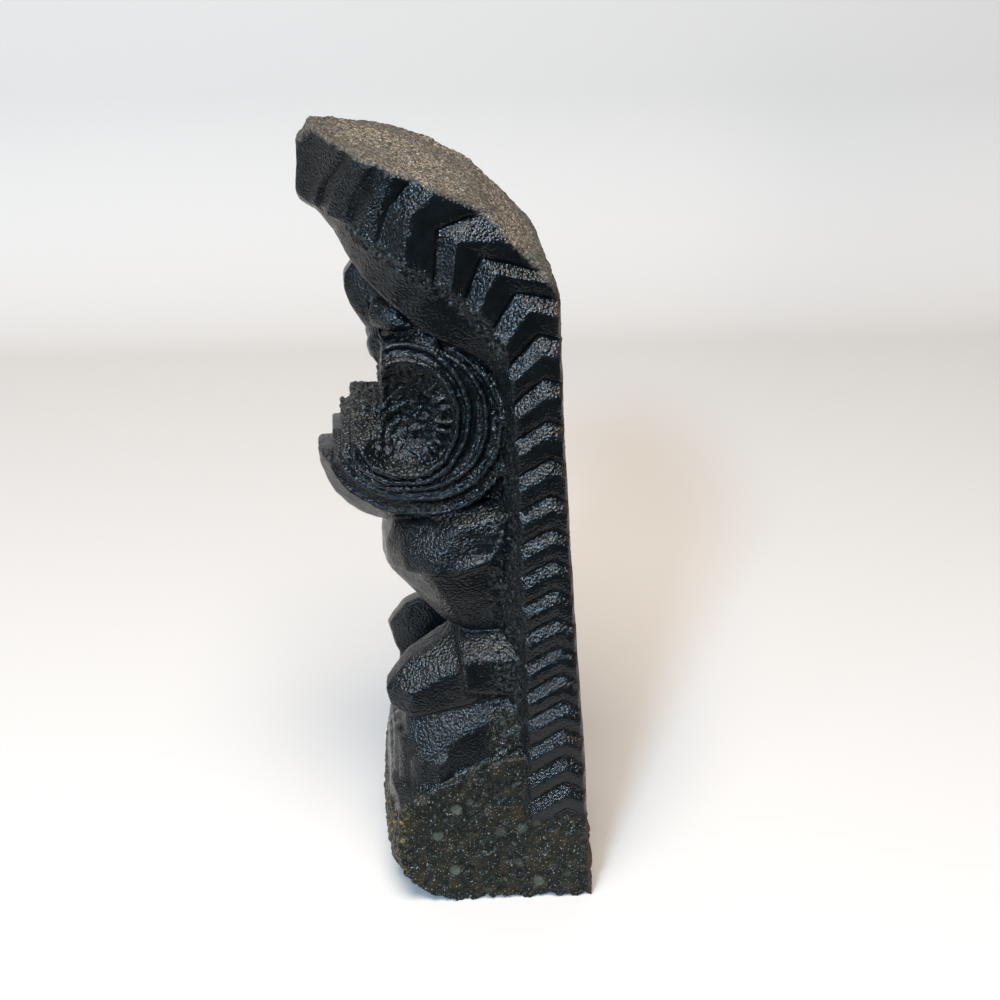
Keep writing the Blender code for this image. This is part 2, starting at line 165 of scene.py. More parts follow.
bpy.ops.object.select_all(action='DESELECT')
bpy.ops.mesh.primitive_plane_add(size=1.0, location=(0.0, 0.0, 0.0))
card = bpy.context.object
card.name = "pale_card"
for corner in card.data.vertices:
    corner.co.x = CARD_FRONT if corner.co.x > 0 else WALL_X
    corner.co.y = CARD_REACH if corner.co.y > 0 else -CARD_REACH


def select_card_edges(low_only):
    """Selects the card's edges at the wall, all of them or only those on the floor."""
    bpy.ops.mesh.select_all(action='DESELECT')
    edit = bmesh.from_edit_mesh(card.data)
    for edge in edit.edges:
        at_wall = all(end.co.x < WALL_X + NEAR for end in edge.verts)
        edge.select = at_wall and (not low_only or all(end.co.z < NEAR for end in edge.verts))
    bmesh.update_edit_mesh(card.data)


bpy.ops.object.mode_set(mode='EDIT')
bpy.ops.mesh.select_mode(type='EDGE')
select_card_edges(low_only=False)
bpy.ops.mesh.extrude_region_move(TRANSFORM_OT_translate={"value": (0.0, 0.0, WALL_HEIGHT)})
select_card_edges(low_only=True)
bpy.ops.mesh.bevel(offset=BEND_RADIUS, segments=BEND_SEGMENTS)
bpy.ops.object.mode_set(mode='OBJECT')
bpy.ops.object.shade_smooth()

pale_card, card_tree, card_shader = new_material("matt_pale_card")
card_shader.inputs["Base Color"].default_value = paint("b4afaa")
card_shader.inputs["Roughness"].default_value = 0.85
card_shader.inputs["Specular IOR Level"].default_value = 0.2
card.data.materials.append(pale_card)
print("card faces:", len(card.data.polygons))

# %% [markdown]
# ## Light
#
# The photograph has a soft bright room: the lacquer shows cool highlights on what faces up and dim
# ones on what faces the camera. One large panel hangs overhead. A cool one stands high to the left
# of the camera, where the facets of the chevrons mirror it, and another stands low in front for the
# facets near the hood's tip. A small low lamp beside the camera throws the soft shadow to the
# right, and the world fills the rest.


# %% Soft panels and a dim world
def soft_panel(name, azimuth, elevation, distance, size, power, tint):
    """A square area light that looks at the figure."""
    bpy.ops.object.light_add(type='AREA')
    lamp = bpy.context.object
    lamp.name = name
    lamp.data.shape = 'SQUARE'
    lamp.data.size = size
    lamp.data.energy = power
    lamp.data.color = paint(tint)[:3]
    aim(lamp, CAMERA_TARGET + direction(azimuth, elevation) * distance, CAMERA_TARGET)


# Name, azimuth and elevation in degrees, distance and size in metres, power in watts, tint.
PANELS = (
    ("overhead_panel", 78.0, 64.0, 1.0, 0.55, 22.0, "fff7ee"),
    ("window_panel", 70.0, 33.0, 1.0, 0.12, 14.0, "a8d4fa"),
    ("front_panel", 50.0, 3.0, 1.0, 0.14, 3.2, "bfe2fa"),
    ("low_lamp", 66.0, 12.0, 0.9, 0.09, 1.4, "fff0e0"),
)
for row in PANELS:
    soft_panel(*row)
world = bpy.data.worlds.new("soft_room")
world.use_nodes = True
world.node_tree.nodes["Background"].inputs["Color"].default_value = paint("fff8f2")
world.node_tree.nodes["Background"].inputs["Strength"].default_value = 0.13
bpy.context.scene.world = world
bpy.context.scene.view_settings.view_transform = 'Standard'

# %% [markdown]
# ## The figure's body
#
# The solid's own mesh stays as it is. We copy it, merge its loose triangles, and work on the copy.

# %% A merged copy of the solid
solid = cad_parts["tiki_figurine"]
figure = bpy.data.objects.new("carved_figure", solid.data.copy())
bpy.context.scene.collection.objects.link(figure)
select_only(figure)
bpy.ops.object.mode_set(mode='EDIT')
bpy.ops.mesh.select_all(action='SELECT')
bpy.ops.mesh.remove_doubles(threshold=0.000005)
bpy.ops.object.mode_set(mode='OBJECT')
print("merged copy:", len(figure.data.vertices), "points")

# %% [markdown]
# ## Thin ridges on the lips
#
# Each lip ring of the real figure ends in a thin raised line that catches the light. A torus is a
# closed tube already, so each ridge starts as one, and its points are then moved onto the oval of
# its ring, which turns outwards towards the back of the head.

# %% Ovals of the lip rings
# Centre and half axes seen from the side, half width at the centre, and how far the ring leans out.
LIP_RINGS = (
    ((-7.2, 108.3), (19.0, 19.4), 14.6, 0.33),
    ((-7.3, 110.4), (17.3, 17.2), 17.0, 0.27),
    ((-8.2, 111.6), (15.2, 15.6), 18.6, 0.22),
    ((-9.2, 112.6), (12.5, 14.8), 19.8, 0.18),
    ((-9.2, 112.0), (10.3, 12.3), 20.6, 0.15),
)
LIP_SWELL = 0.075


def lip_point(ring, angle, grow=1.0):
    """A point on a lip ring of the left side, in millimetres. Angle 0 is the back, 90 is up."""
    centre, axes, half_width, lean = ring
    chin = max(-math.cos(angle), 0.0) * max(-math.sin(angle), 0.0)
    size = grow * (1 + 2 * LIP_SWELL * chin)
    along = axes[0] * size * math.cos(angle)
    up = axes[1] * size * math.sin(angle)
    return Vector((half_width + lean * along, centre[0] + along, centre[1] + up))


# %% Lay a torus along each oval
RIDGE_RADIUS = 0.52
RIDGE_MAJOR = 16.0
WAVE_HEIGHT = 0.16
added = []


def lip_ridge(ring, side, radius):
    """A thin tube along a lip ring, a little wavy as if cut by hand."""
    bpy.ops.object.select_all(action='DESELECT')
    bpy.ops.mesh.primitive_torus_add(major_segments=120, minor_segments=8, major_radius=RIDGE_MAJOR * MM,
                                     minor_radius=radius * MM)
    tube = bpy.context.object
    for point in tube.data.vertices:
        angle = math.atan2(point.co.y, point.co.x)
        wave = WAVE_HEIGHT * math.sin(9 * angle + 7 * ring[2]) * math.sin(4 * angle + side)
        out = math.hypot(point.co.x, point.co.y) / MM - RIDGE_MAJOR + wave
        place = lip_point(ring, angle)
        place.y += out * math.cos(angle)
        place.z += out * math.sin(angle)
        place.x += point.co.z / MM
        point.co = Vector((side * place.x, place.y, place.z)) * MM
    added.append(tube)


for side in (1, -1):
    for ring in LIP_RINGS:
        lip_ridge(ring, side, RIDGE_RADIUS)
print("lip ridges:", len(added))

# %% [markdown]
# The steps in front cut the rings off, so what a ridge has beyond a step goes too. The points there
# are deleted, and the open ends are filled, so each tube is closed again.

# %% Cut the ridges at the steps
LIP_STEPS = ((-14.0, 111.6), (-20.4, 108.2), (-22.4, 104.6), (-24.3, 100.2))
STEP_FALL_RATE = 9.5 / 21.2
STEP_FLAT = 4.8


def beyond_step(x, y, z):
    """Whether a place lies in front of a step and above its floor, in millimetres."""
    fall = max(abs(x) - STEP_FLAT, 0.0) * STEP_FALL_RATE
    return any(y < front and z > height - fall for front, height in LIP_STEPS)


for tube in added:
    select_only(tube)
    bpy.ops.object.mode_set(mode='EDIT')
    bpy.ops.mesh.select_mode(type='VERT')
    bpy.ops.mesh.select_all(action='DESELECT')
    edit = bmesh.from_edit_mesh(tube.data)
    for point in edit.verts:
        point.select = beyond_step(*(point.co / MM))
    bmesh.update_edit_mesh(tube.data)
    bpy.ops.mesh.delete(type='VERT')
    bpy.ops.mesh.select_all(action='SELECT')
    bpy.ops.mesh.select_non_manifold(extend=False, use_boundary=True)
    bpy.ops.mesh.fill_holes(sides=0)
    bpy.ops.mesh.select_all(action='SELECT')
    bpy.ops.mesh.normals_make_consistent(inside=False)
    bpy.ops.object.mode_set(mode='OBJECT')
print("ridge points left:", sum(len(tube.data.vertices) for tube in added))

# %% [markdown]
# ## Teeth in the mouth
#
# Inside the back rim of each mouth lobe a row of short radial ridges stands like teeth. One tooth
# is modelled once, as a ball stretched in edit mode, and copied round the rim. Every copy has its
# own mesh, turned, scaled and moved into its place. They are uneven, as if cut by eye.

# %% One tooth, and its copies round the inner rim
TOOTH_SIZE = (2.4, 4.2, 1.15)
# Angle on the rim in degrees, and length as a share of the tooth that is modelled.
TOOTH_PLACES = ((-64, 0.7), (-46, 1.1), (-34, 0.6), (-17, 1.0), (-5, 1.3), (13, 0.8), (26, 1.2), (45, 0.7))
TOOTH_SINK = 1.5
TOOTH_RING = 0.78
TOOTH_LEAST_WIDTH = 0.8
TOOTH_WIDTH_GAIN = 0.2

bpy.ops.object.select_all(action='DESELECT')
bpy.ops.mesh.primitive_uv_sphere_add(segments=12, ring_count=8, radius=MM / 2)
tooth = bpy.context.object
bpy.ops.object.mode_set(mode='EDIT')
bpy.ops.mesh.select_all(action='SELECT')
bpy.ops.transform.resize(value=TOOTH_SIZE)
bpy.ops.object.mode_set(mode='OBJECT')

rim = LIP_RINGS[-1]
for side in (1, -1):
    for degrees, length in TOOTH_PLACES:
        angle = math.radians(degrees)
        place = lip_point(rim, angle, TOOTH_RING)
        width = TOOTH_LEAST_WIDTH + TOOTH_WIDTH_GAIN * length
        spot = Vector((side * (place.x - TOOTH_SINK), place.y, place.z)) * MM
        copy = tooth.copy()
        copy.data = tooth.data.copy()
        copy.data.transform(Matrix.Translation(spot) @ Matrix.Rotation(angle, 4, 'X')
                            @ Matrix.Diagonal((1.0, length, width, 1.0)))
        bpy.context.scene.collection.objects.link(copy)
        added.append(copy)
bpy.data.objects.remove(tooth)
print("teeth:", 2 * len(TOOTH_PLACES))

# %% [markdown]
# ## Strokes on the face and body
#
# The carver's tool left thin raised lines on the face: along the nose, under the brow, round each
# eye, and on the seams between some facets. The ledge under the arm is a thicker stroke. A ball is a
# closed tube already if its rings are laid along a line, and it thins out at both ends by itself, so
# each stroke starts as one. A stroke is given by places on the figure's side, and a ray from the
# side finds the surface under each.

# %% Strokes laid on the surface
STROKE_RINGS = 28
STROKE_SIDES = 8
SIDE_REACH = 60.0
ROUNDING = 0.5


def on_surface(side, y, z):
    """The place on the figure's side, seen square on from the left or right, in millimetres."""
    hit, spot, _, _ = figure.ray_cast(Vector((side * SIDE_REACH, y, z)) * MM, Vector((-side, 0.0, 0.0)))
    return spot / MM if hit else Vector((0.0, y, z))


def along_line(line, share):
    """A place on a chain of places, and the way the chain runs there."""
    # The place is held just short of the last one, so that there is always a next one.
    position = min(share * (len(line) - 1), len(line) - 1.001)
    i = int(position)
    before, after = line[max(i - 1, 0)], line[min(i + 2, len(line) - 1)]
    start, end = line[i], line[i + 1]
    part = position - i
    spot = start.lerp(end, part)
    spot += ((start - before) + (end - after)) * ROUNDING * part * (1 - part) * ROUNDING
    return spot, (end - start).normalized()


def stroke(line, radius):
    """A thin closed bead along a chain of places, in millimetres."""
    bpy.ops.object.select_all(action='DESELECT')
    bpy.ops.mesh.primitive_uv_sphere_add(segments=STROKE_SIDES, ring_count=STROKE_RINGS, radius=1.0)
    bead = bpy.context.object
    for point in bead.data.vertices:
        share = (1 - point.co.z) / 2
        spot, way = along_line(line, share)
        across = way.cross(Vector((1.0, 0.0, 0.0))).normalized()
        other = way.cross(across).normalized()
        point.co = (spot + (across * point.co.x + other * point.co.y) * radius) * MM
    added.append(bead)


NOSE_LINE = ((-16.9, 134.6), (-16.3, 132.4), (-15.6, 130.2), (-14.5, 127.8), (-13.4, 126.2))
BROW_LINE = ((-13.6, 126.0), (-11.6, 127.2), (-9.4, 128.3), (-6.4, 129.2), (-3.8, 128.2), (-1.6, 125.6))
BELLY_LINE = ((-6.9, 77.6), (-5.6, 74.6), (-3.0, 70.2), (0.0, 64.6))
HIP_LINE = ((0.6, 60.6), (0.9, 58.2), (1.2, 54.4))
SHIN_LINE = ((-9.2, 26.2), (-3.0, 28.6), (3.4, 31.4), (10.0, 34.2))
LEDGE_LINE = ((0.2, 78.3), (3.0, 79.6), (6.0, 80.6), (9.4, 81.2))
# Each line with the radius of its stroke.
STROKES = ((NOSE_LINE, 0.42), (BROW_LINE, 0.40), (BELLY_LINE, 0.34), (HIP_LINE, 0.34),
           (SHIN_LINE, 0.40), (LEDGE_LINE, 1.30))
for side in (1, -1):
    for places, radius in STROKES:
        stroke([on_surface(side, y, z) for y, z in places], radius)
print("pieces to join:", len(added))

# %% [markdown]
# Each eye is a small spiral of the same kind of stroke, of a little over one and a half turns, on
# the cheek side of the brow. It is a little wider than high.

# %% Spirals of the eyes
EYE_MIDDLE = (-12.6, 132.4)
EYE_TURNS = 1.6
EYE_POINTS = 26
EYE_START = 160
EYE_REACH = 3.6
EYE_CLOSING = 0.78
EYE_WIDTH = 0.92
EYE_HEIGHT = 0.85
EYE_RADIUS = 0.46
for side in (1, -1):
    spiral = []
    for i in range(EYE_POINTS):
        share = i / (EYE_POINTS - 1)
        angle = math.radians(EYE_START) + 2 * math.pi * EYE_TURNS * share
        reach = EYE_REACH * (1 - EYE_CLOSING * share)
        y = EYE_MIDDLE[0] + EYE_WIDTH * reach * math.cos(angle)
        spiral.append(on_surface(side, y, EYE_MIDDLE[1] + EYE_HEIGHT * reach * math.sin(angle)))
    stroke(spiral, EYE_RADIUS)
print("eyes done, pieces to join:", len(added))

# %% [markdown]
# ## One skin
#
# The ridges, teeth and strokes are joined to the body. A voxel remesh then gives everything one even
# closed skin, and a short smoothing rounds the edges as wear and lacquer do.

# %% Join and remesh
VOXEL = 0.27 * MM
for piece in added:
    select_only(piece)
    bpy.ops.object.mode_set(mode='EDIT')
    bpy.ops.mesh.select_all(action='SELECT')
    bpy.ops.mesh.normals_make_consistent(inside=False)
    bpy.ops.object.mode_set(mode='OBJECT')
select_only(figure)
for piece in added:
    piece.select_set(True)
bpy.ops.object.join()
figure.data.remesh_voxel_size = VOXEL
figure.data.remesh_voxel_adaptivity = 0.0
bpy.ops.object.voxel_remesh()
soften = figure.modifiers.new("worn_edges", 'SMOOTH')
soften.factor = 0.5
soften.iterations = 3
apply_modifiers(figure)
print("skin:", len(figure.data.polygons), "faces")

# %% [markdown]
# ## Where the surface is rough
#
# The cast stone is smooth on the carved facets and rough in some places: the bare back and top, the
# narrow rim of the back below the hood, the base, the hollow of the mouth, the lips behind and the
# top of the lower lip, the recess between the body and the side band with a thin coat at its foot,
# and the foot of the hood's relief, where crumbs stayed. Each place gets a weight at every point,
# worked out from where the point lies. A weight fades over a short span, and each span is a pair of
# values in millimetres.

# %% Weights for the rough places
BACK_LINE = ((29.9, -1.0), (29.9, 0.0), (27.3, 42.0), (25.0, 72.0), (22.9, 104.0), (21.8, 128.0),
             (20.8, 139.8), (15.5, 145.9), (9.9, 152.3), (3.3, 157.5), (-4.0, 160.7), (-11.0, 163.4),
             (-18.0, 165.3), (-23.0, 167.0), (-26.8, 168.4), (-29.6, 165.0))
CRUMB_LINE = ((9.0, 126.0), (8.6, 129.4), (4.3, 134.6), (0.3, 138.2), (-4.4, 141.0), (-9.2, 144.2),
              (-14.2, 147.0), (-18.6, 150.0))
BAND_EDGE = (22.0, 23.0)
HOOD_FOOT = (137.0, 142.0)
BARE_REACH = (0.35, 1.05)
RIM_REACH = (0.25, 0.75)
BASE_START = (-12.2, 24.0)
BASE_RISE = 0.495
BASE_HEIGHTS = (23.0, 36.0)
BASE_BEHIND = (15.0, 20.0)
BASE_FADE = (-1.0, 0.6)
BASE_SIDE = (22.6, 24.2)
BASE_BELOW = (20.0, 23.0)
MOUTH_FADE = (0.88, 0.97)
MOUTH_SIDE = (4.0, 7.0)
MOUTH_INSET = 0.2
RECESS_FRONT = (6.0, 9.0)
RECESS_BEHIND = (13.4, 15.2)
RECESS_SIDE = (23.8, 24.6)
RECESS_TOP = (108.0, 118.0)
RECESS_FOOT = (30.0, 36.0)
COAT_TOP = (40.0, 48.0)
LIPS_CENTRE = (-8.0, 107.0)
LIPS_AXES = (22.0, 21.0)
LIPS_FADE = (0.95, 1.05)
LIPS_SIDE = (9.0, 12.0)
LIPS_BEHIND = (8.0, 11.0)
STEP_OVERHANG = 0.6
LIP_TOP_FADE = (0.7, 1.9)
LIP_TOP_FRONT = (-14.5, -12.5)
LIP_TOP_FOOT = (92.0, 96.0)
LIP_TOP_SIDE = (10.0, 14.0)
LIP_TOP_START = (106.0, 108.0)
CRUMB_REACH = (0.6, 2.6)
CRUMB_SIDE = (12.0, 15.0)
FAR = 1e9


def places_of(piece):
    """All points of a piece in millimetres, as one array."""
    flat = np.zeros(len(piece.data.vertices) * 3)
    piece.data.vertices.foreach_get("co", flat)
    return flat.reshape(-1, 3) / MM


def ramp(values, low, high):
    """Smooth step from 0 at low to 1 at high."""
    share = np.clip((values - low) / (high - low), 0.0, 1.0)
    return share * share * (3 - 2 * share)


def fall(values, low, high):
    """Smooth step from 1 at low to 0 at high."""
    return ramp(-values, -high, -low)


def line_distance(y, z, line):
    """Distance of each (y, z) from a chain of straight lines."""
    nearest = np.full(len(y), FAR)
    for (y0, z0), (y1, z1) in zip(line, line[1:]):
        span = (y1 - y0) ** 2 + (z1 - z0) ** 2
        share = np.clip(((y - y0) * (y1 - y0) + (z - z0) * (z1 - z0)) / span, 0.0, 1.0)
        nearest = np.minimum(nearest, np.hypot(y - y0 - share * (y1 - y0), z - z0 - share * (z1 - z0)))
    return nearest


def rough_places(at):
    """Weights of the bare back, its rim, the base, the mouth, the lips, the recess and the crumbs."""
    x, y, z = at[:, 0], at[:, 1], at[:, 2]
    wide = np.abs(x)
    # A small wave, in radians for each millimetre, so that no finish ends on a straight line.
    wander = 0.35 * np.sin(1.7 * y + 0.9 * x) * np.sin(1.3 * z + 0.5 * x) + 0.25 * np.sin(3.1 * y - 2.7 * z)
    back = line_distance(y, z, BACK_LINE)
    lacquered_edge = ramp(wide + 0.5 * wander, *BAND_EDGE) * fall(z, *HOOD_FOOT)
    bare = fall(back - 0.6 * wander, *BARE_REACH) * (1 - lacquered_edge)
    rim = fall(back - 0.3 * wander, *RIM_REACH) * lacquered_edge
    base_top = np.clip(BASE_START[1] + (y - BASE_START[0]) * BASE_RISE, *BASE_HEIGHTS)
    base_top = np.where(y > BASE_BEHIND[0], BASE_BEHIND[1], base_top) + 1.2 * wander
    block = np.maximum(ramp(wide, *BASE_SIDE), fall(z, *BASE_BELOW))
    base = ramp(base_top - z, *BASE_FADE) * block * (1 - bare)
    centre, axes, half_width, _ = LIP_RINGS[-1]
    oval = np.hypot((y - centre[0]) / axes[0], (z - centre[1]) / axes[1])
    mouth = fall(oval, *MOUTH_FADE) * ramp(wide, *MOUTH_SIDE) * (wide < half_width - MOUTH_INSET)
    recess = ramp(y, *RECESS_FRONT) * fall(y, *RECESS_BEHIND)
    recess = recess * fall(wide, *RECESS_SIDE) * fall(z, *RECESS_TOP)
    recess = recess * (1 - base) * ramp(z, *RECESS_FOOT)
    foot_coat = recess * fall(z, *COAT_TOP)
    oval = np.hypot((y - LIPS_CENTRE[0]) / LIPS_AXES[0], (z - LIPS_CENTRE[1]) / LIPS_AXES[1])
    lips = fall(oval, *LIPS_FADE) * ramp(wide, *LIPS_SIDE)
    lips = lips * (1 - mouth) * fall(y, *LIPS_BEHIND)
    floor_edge = np.full(len(x), FAR)
    for front, height in LIP_STEPS:
        lower = np.maximum(wide - STEP_FLAT, 0.0) * STEP_FALL_RATE
        gap = np.abs(z - height + lower)
        floor_edge = np.minimum(floor_edge, np.where(y < front + STEP_OVERHANG, gap, FAR))
    lip_top = fall(floor_edge, *LIP_TOP_FADE) * fall(y, *LIP_TOP_FRONT) * ramp(z, *LIP_TOP_FOOT) * (1 - mouth)
    lip_top = lip_top * fall(wide, *LIP_TOP_SIDE) * ramp(z, *LIP_TOP_START)
    crumbs = fall(line_distance(y, z, CRUMB_LINE), *CRUMB_REACH) * ramp(wide, *CRUMB_SIDE)
    return {"bare": bare, "base": base, "mouth": mouth, "recess": recess, "lip_top": lip_top,
            "crumbs": crumbs, "lips": lips, "rim": rim, "foot_coat": foot_coat}


def weight_group(piece, name, weights, levels=24):
    """A vertex group with these weights, in a few even levels."""
    group = piece.vertex_groups.new(name=name)
    level = np.rint(weights * levels).astype(int)
    for step in range(1, levels + 1):
        members = np.nonzero(level == step)[0]
        if len(members):
            group.add(members.tolist(), step / levels, 'REPLACE')


# %% [markdown]
# The knees, the belly, the nose and the brow are worn rounder than the rest, and the lip's steps a
# little, so they get a longer smoothing of their own before the rough places are weighed.

# %% Wear the knees, belly and face rounder
BODY_FRONT = (3.0, 7.0)
BODY_FOOT = (18.0, 24.0)
BODY_TOP = (86.0, 91.0)
FACE_FOOT = (114.0, 118.0)
FACE_TOP = (138.0, 144.0)
FACE_FRONT = (-8.0, -3.0)
FACE_SIDE = (19.0, 23.0)
STEPS_SHARE = 0.45
STEPS_FRONT = (-16.0, -13.0)
STEPS_FOOT = (90.0, 94.0)
STEPS_TOP = (111.0, 113.0)


def rounded_places(at):
    """Weights of the knees, belly, nose, brow and lip steps, whose edges are worn rounder."""
    x, y, z = at[:, 0], at[:, 1], at[:, 2]
    front = fall(y, *BODY_FRONT)
    body = ramp(z, *BODY_FOOT) * fall(z, *BODY_TOP)
    face = ramp(z, *FACE_FOOT) * fall(z, *FACE_TOP) * fall(y, *FACE_FRONT) * fall(np.abs(x), *FACE_SIDE)
    steps = STEPS_SHARE * fall(y, *STEPS_FRONT) * ramp(z, *STEPS_FOOT) * fall(z, *STEPS_TOP)
    return np.maximum(np.maximum(body * front, face), steps)


weight_group(figure, "rounded", rounded_places(places_of(figure)))
round_off = figure.modifiers.new("round_off", 'SMOOTH')
round_off.factor = 0.5
round_off.iterations = 30
round_off.vertex_group = "rounded"
apply_modifiers(figure)
weights = rough_places(places_of(figure))
smooth_part = 1 - np.clip(sum(weights.values()), 0, 1)
for name, values in weights.items():
    weight_group(figure, name, values)
    print(name, "covers", round(float(values.mean()) * 100, 1), "% of the points")
weight_group(figure, "carved", smooth_part)


# %% [markdown]
# The unevenness itself is a stack of displace modifiers, each with a cloud or cell pattern whose
# size is that of the lumps and pits on the stone, in millimetres.

# %% Uneven facets, grain and pits
# Name, pattern, size of its lumps and depth in mm, where it works, and the level that stays in place.
UNEVEN = (
    ("hand_carved", 'CLOUDS', 7.0, 0.50, None, 0.5),
    ("facet_ripple", 'CLOUDS', 1.6, 0.11, "carved", 0.5),
    ("bare_grain", 'CLOUDS', 0.9, 0.50, "bare", 0.5),
    ("bare_pits", 'VORONOI', 1.7, 0.50, "bare", 0.42),
    ("base_lumps", 'CLOUDS', 3.2, 1.5, "base", 0.5),
    ("base_pits", 'VORONOI', 2.2, 0.9, "base", 0.42),
    ("base_grit", 'CLOUDS', 0.9, 0.6, "base", 0.5),
    ("mouth_hollow", 'CLOUDS', 4.5, 1.6, "mouth", 0.5),
    ("mouth_crumbs", 'CLOUDS', 1.0, 1.5, "mouth", 0.5),
    ("mouth_grit", 'VORONOI', 0.9, 0.5, "mouth", 0.42),
    ("lip_grain", 'CLOUDS', 0.8, 0.62, "lips", 0.5),
    ("recess_crumbs", 'CLOUDS', 0.9, 1.1, "recess", 0.5),
    ("lip_top_crumbs", 'CLOUDS', 1.3, 1.7, "lip_top", 0.5),
    ("relief_crumbs", 'CLOUDS', 0.8, 1.8, "crumbs", 0.45),
)
for name, pattern, size, depth, group, middle in UNEVEN:
    texture = bpy.data.textures.new(name, pattern)
    texture.noise_scale = size * MM
    modifier = figure.modifiers.new(name, 'DISPLACE')
    modifier.texture = texture
    modifier.texture_coords = 'LOCAL'
    modifier.strength = depth * MM
    modifier.mid_level = middle
    if group:
        modifier.vertex_group = group
apply_modifiers(figure)
print("uneven layers:", len(UNEVEN))

# %% [markdown]
# The real base was broken from its mould, so its lower edge is ragged. The points near the floor
# are lifted there by a wave, most at the outline, and the rest of the underside is level.

# %% Level the underside, with a ragged lower edge
RAGGED_LIFT = 1.3
RAGGED_HEIGHT = 2.2
OUTLINE_SIDE = (21.5, 24.0)
OUTLINE_FRONT = (-11.5, -8.5)

flat = places_of(figure)
x, y, z = flat.T
outline = np.maximum(ramp(np.abs(x), *OUTLINE_SIDE), fall(y, *OUTLINE_FRONT))
# Two waves, in radians for each millimetre: a long one for the chips and a short one for the grit.
wave = 0.5 + 0.5 * np.sin(1.1 * y + 0.4 * x) * np.sin(0.63 * y - 0.5 * x + 1.0)
wave = wave + 0.25 * np.sin(3.7 * y + 1.3 * x) * np.sin(2.9 * x - 1.7 * y)
flat[:, 2] += RAGGED_LIFT * outline * fall(z, 0.0, RAGGED_HEIGHT) * np.clip(wave, 0.0, 1.0)
figure_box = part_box("tiki_figurine")
low = np.array(figure_box[0]) / MM
high = np.array(figure_box[1]) / MM


def hold_to_box(piece, at):
    """Sets the piece's points to these places in millimetres, held to the solid's box."""
    piece.data.vertices.foreach_set("co", (np.clip(at, low, high) * MM).ravel())
    piece.data.update()


hold_to_box(figure, flat)
print("lowest point in mm:", round(float(places_of(figure)[:, 2].min()), 3))

# %% [markdown]
# ## Thin to the triangle limit
#
# The collapse decimator spends its triangles where the surface bends, so flat facets get few and
# ridges get many. It can push a corner out a little, so the points are held to the box once more.

# %% Thin the skin
TRIANGLE_LIMIT = 196000
thin = figure.modifiers.new("thin", 'DECIMATE')
thin.ratio = TRIANGLE_LIMIT / (2 * len(figure.data.polygons))
apply_modifiers(figure)
hold_to_box(figure, places_of(figure))
bpy.ops.object.shade_smooth()
print("thinned:", sum(len(face.vertices) - 2 for face in figure.data.polygons), "triangles")


# %% [markdown]
# ## Marks for the finishes
#
# The finishes need to know where the bare and rough places are, where grit settled in the wet
# lacquer because the surface faces up or forward, and which points lie on a ridge or in a hollow.
# These are stored on the mesh as named values. A point lies on a ridge where the normals of its
# neighbours open outwards.

# %% Store the marks on the mesh
FINISH_PLACES = ("bare", "rim", "base", "foot_coat", "mouth", "recess", "lip_top", "crumbs")
FORWARD_SHARE = 0.8
GRAINY_FACING = (-0.05, 0.50)
RIDGE_BEND = (0.25, 1.3)
HOLLOW_BEND = (0.20, 1.1)
SHARP_BEND = 0.6
OWN_SHARE = 0.6
NEXT_SHARE = 0.4


def normals_of(piece):
    """The way the surface faces at each point."""
    flat = np.zeros(len(piece.data.vertices) * 3)
    piece.data.vertex_normals.foreach_get("vector", flat)
    return flat.reshape(-1, 3)


def bending(piece, facing):
    """How much the surface bends at each point, above 0 on ridges and below 0 in hollows."""
    at = places_of(piece)
    count = len(at)
    ends = np.zeros(len(piece.data.edges) * 2, dtype=np.int64)
    piece.data.edges.foreach_get("vertices", ends)
    a, b = ends.reshape(-1, 2).T
    gap = at[b] - at[a]
    bend = ((facing[b] - facing[a]) * gap).sum(1) / np.maximum((gap * gap).sum(1), 1e-6)
    number = np.bincount(a, minlength=count) + np.bincount(b, minlength=count)
    total = np.bincount(a, bend, count) + np.bincount(b, bend, count)
    value = total / np.maximum(number, 1)
    spread = (np.bincount(a, value[b], count) + np.bincount(b, value[a], count)) / np.maximum(number, 1)
    return OWN_SHARE * value + NEXT_SHARE * spread


def store(name, values):
    """Saves one value for each point of the figure."""
    mark = figure.data.attributes.new(name, 'FLOAT', 'POINT')
    mark.data.foreach_set("value", values.astype(np.float32))


figure.vertex_groups.clear()
facing = normals_of(figure)
bend = bending(figure, facing)
weights = rough_places(places_of(figure))
for name in FINISH_PLACES:
    store(name, weights[name])
store("grainy", ramp(np.maximum(facing[:, 2], -FORWARD_SHARE * facing[:, 1]), *GRAINY_FACING))
# The ridge mark sets where the lacquer is lighter, partly as wear and partly as a painted highlight.
store("ridge", ramp(bend, *RIDGE_BEND))
# The hollow mark sets where painted shade darkens the lacquer.
store("hollow", ramp(-bend, *HOLLOW_BEND))
print("ridge share:", round(float((bend > SHARP_BEND).mean()), 3))
print("hollow share:", round(float((bend < -SHARP_BEND).mean()), 3))

# %% [markdown]
# ## Finish
#
# Lava stone is a dark porous rock, cast here from its grit in resin. The black lacquer over it is
# glossy but lies on grain, so its highlights break up into sparks. Where it was left off, the grit
# shows tan and grey and is fully matt. The base is lacquered thinly over coarse grit, so light
# round grains show through. All of it is one material, because the finishes run into each other:
# each is a layer, and the marks on the mesh say where it shows.

# %% The patterns: grit, blotches and round grains
stone, tree, shader = new_material("black_lacquered_cast_lava_stone")
place = add_node(tree, "ShaderNodeTexCoord", {}).outputs["Object"]
mark = {}
for name in (*FINISH_PLACES, "grainy", "ridge", "hollow"):
    mark[name] = add_node(tree, "ShaderNodeAttribute", {}, attribute_name=name).outputs["Fac"]

